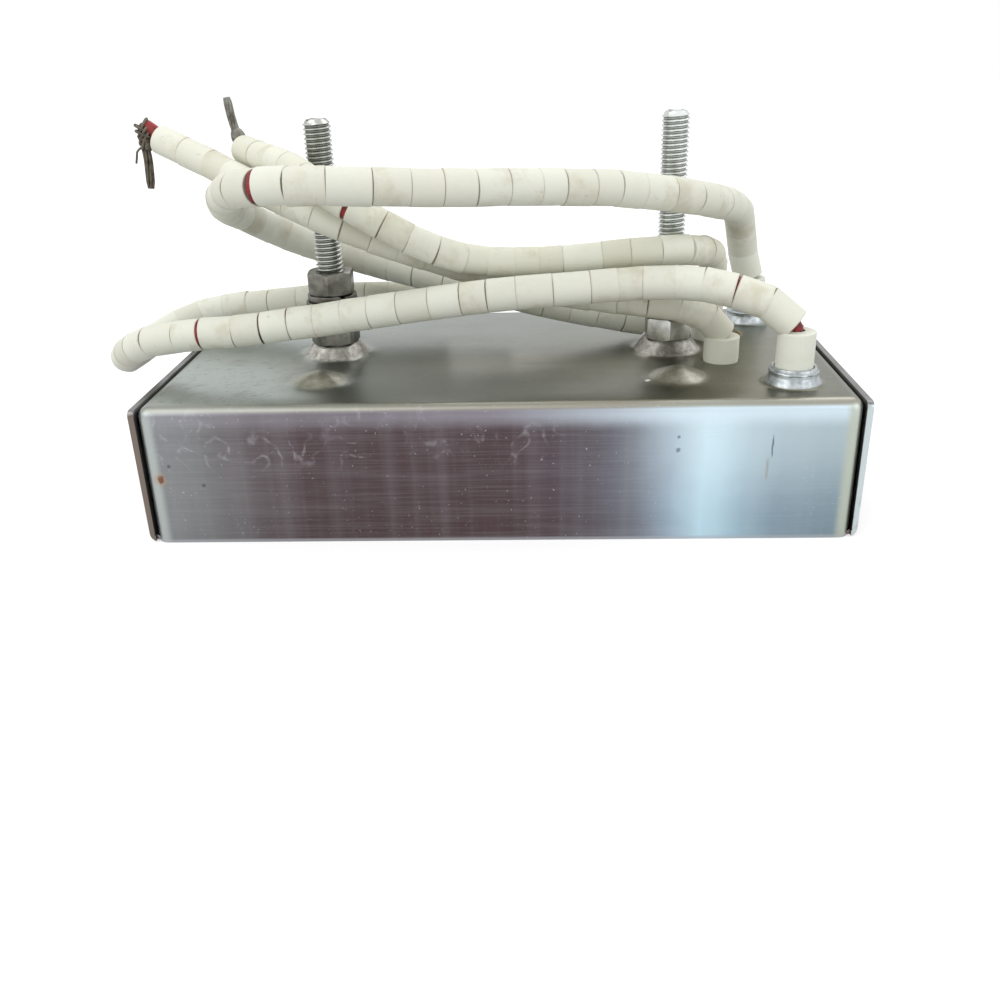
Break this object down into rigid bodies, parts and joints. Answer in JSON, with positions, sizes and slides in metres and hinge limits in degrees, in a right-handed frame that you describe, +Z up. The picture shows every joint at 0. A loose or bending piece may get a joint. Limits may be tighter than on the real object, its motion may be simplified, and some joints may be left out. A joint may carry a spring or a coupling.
{
  "type": "medium wave infrared heater",
  "caption": "Half-size quartz cassette infrared heater: folded steel cover over quartz tubes, two threaded fixing studs and four ceramic-beaded leads.",
  "frame": {"origin": "middle of the cassette's footprint, on the surface that it stands on with its tubes down", "axes": "+X along the tubes towards the end where the leads leave, +Y to the back, +Z up along the studs"},
  "size_m": [0.1407, 0.0668, 0.0719],
  "materials": {
    "cover_sheet": "brushed stainless sheet, lightly scratched",
    "cap_sheet": "stainless sheet with dark edges",
    "reflector": "bright reflector sheet",
    "insulation": "ceramic fibre board",
    "rack_ceramic": "fired steatite",
    "bead_ceramic": "matt cream ceramic beads",
    "quartz": "clear quartz tube",
    "coil_alloy": "oxidised resistance alloy",
    "probe_sheath": "drawn sheath",
    "bare_wire": "twisted bare strands, dulled",
    "wire_insulation": "red wire insulation",
    "stud_steel": "bright rolled thread",
    "nut_steel": "plain steel nut",
    "washer_steel": "plain steel washer"
  },
  "bodies": {
    "root": {"cover": "cover_sheet", "end_cap_left": "cap_sheet", "end_cap_right": "cap_sheet", "reflector": "reflector", "insulation_pad": "insulation", "tube_rack_left": "rack_ceramic", "tube_rack_right": "rack_ceramic", "coil_links_left": "coil_alloy", "coil_links_right": "coil_alloy", "sensor_probe": "probe_sheath", "bush_power_front": "bead_ceramic", "lead_power_front": "bead_ceramic", "core_power_front": "bare_wire", "bare_end_power_front": "bare_wire", "bush_power_rear": "bead_ceramic", "lead_power_rear": "bead_ceramic", "core_power_rear": "bare_wire", "bare_end_power_rear": "bare_wire", "bush_probe_front": "bead_ceramic", "lead_probe_front": "bead_ceramic", "core_probe_front": "bare_wire", "bare_end_probe_front": "bare_wire", "bush_probe_rear": "bead_ceramic", "lead_probe_rear": "bead_ceramic", "core_probe_rear": "bare_wire", "bare_end_probe_rear": "bare_wire", "sleeve_probe_front": "wire_insulation", "quartz_tube_1": "quartz", "heating_coil_1": "coil_alloy", "quartz_tube_2": "quartz", "heating_coil_2": "coil_alloy", "quartz_tube_3": "quartz", "heating_coil_3": "coil_alloy", "quartz_tube_4": "quartz", "heating_coil_4": "coil_alloy", "quartz_tube_5": "quartz", "heating_coil_5": "coil_alloy", "quartz_tube_6": "quartz", "heating_coil_6": "coil_alloy", "stud_left": "stud_steel", "lower_nut_left": "nut_steel", "upper_nut_left": "nut_steel", "flat_washer_left": "washer_steel", "spring_washer_left": "washer_steel", "stud_right": "stud_steel", "lower_nut_right": "nut_steel", "upper_nut_right": "nut_steel", "flat_washer_right": "washer_steel", "spring_washer_right": "washer_steel"}
  },
  "joints": []
}
